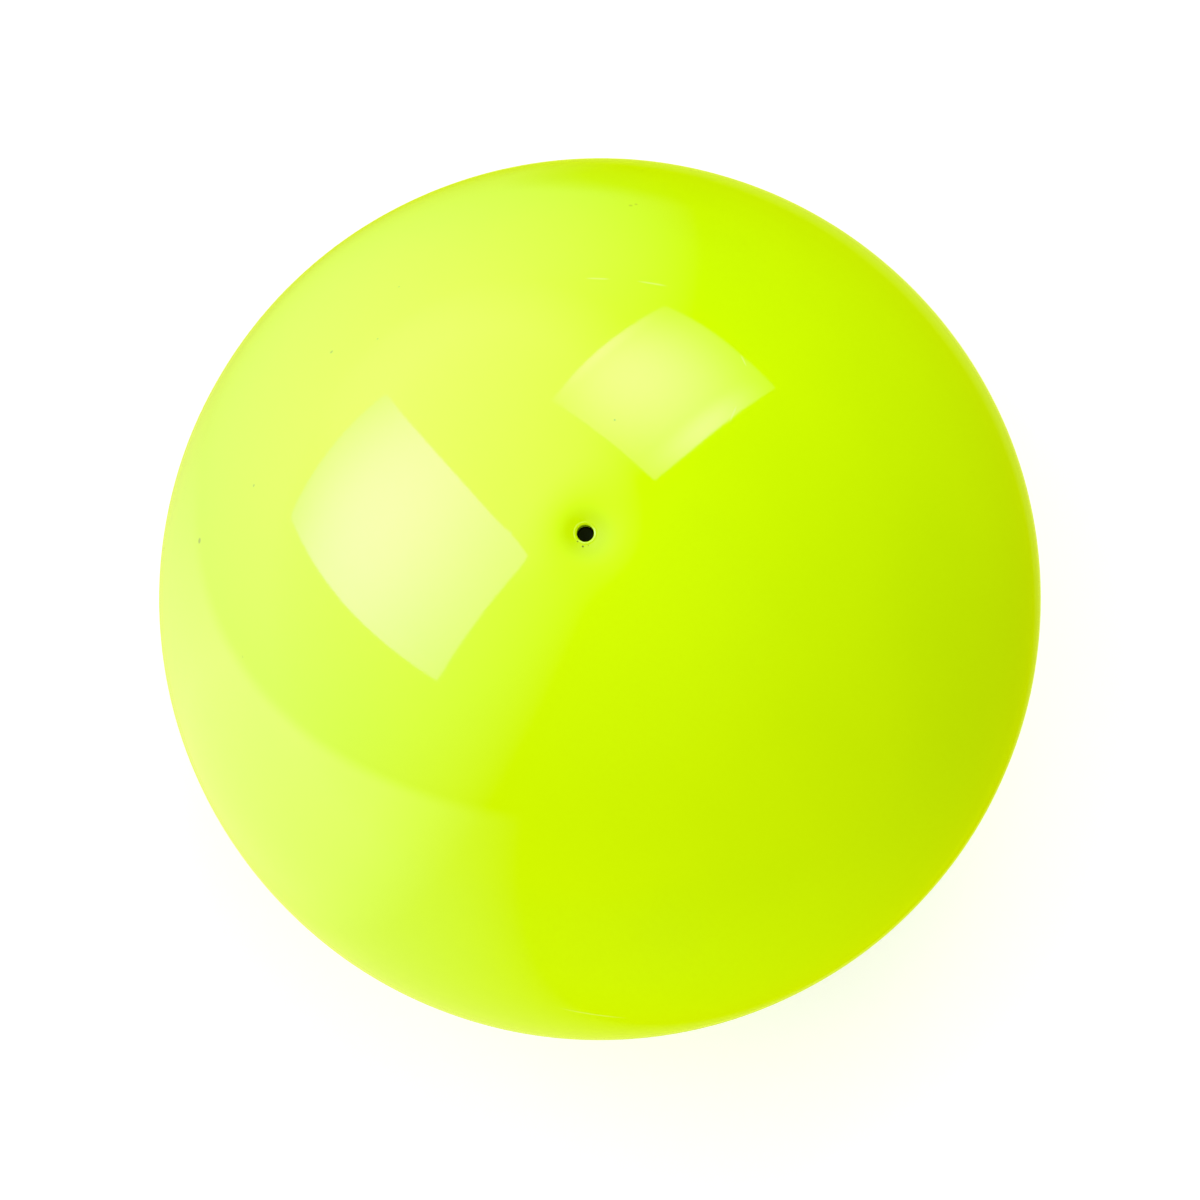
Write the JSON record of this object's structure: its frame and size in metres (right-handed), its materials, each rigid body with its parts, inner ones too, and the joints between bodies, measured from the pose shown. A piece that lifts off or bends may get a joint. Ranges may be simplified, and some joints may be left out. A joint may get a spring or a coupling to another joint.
{
  "type": "rhythmic gymnastics ball",
  "caption": "Hollow inflatable gymnastics ball with a glossy neon yellow-green wall, dished around a recessed valve hole that a pull-out rubber stopper closes.",
  "frame": {"origin": "centre of the ball", "axes": "+Z along the valve's axis, out through the valve hole; the ball is round about +Z, so +X and +Y are free"},
  "size_m": [0.1852, 0.1852, 0.1845],
  "materials": {
    "neon_wall": "gloss",
    "patch_rubber": "matte",
    "valve_rubber": "matte",
    "stopper_rubber": "satin"
  },
  "bodies": {
    "ball": {"ball_shell": "neon_wall", "valve_patch": "patch_rubber", "valve_housing": "valve_rubber"},
    "plug": {"valve_plug": "stopper_rubber"}
  },
  "joints": [
    {"name": "plug_pull", "type": "slide", "parent": "ball", "child": "plug", "axis": [0, 0, 1], "range_m": [0, 0.016]}
  ]
}
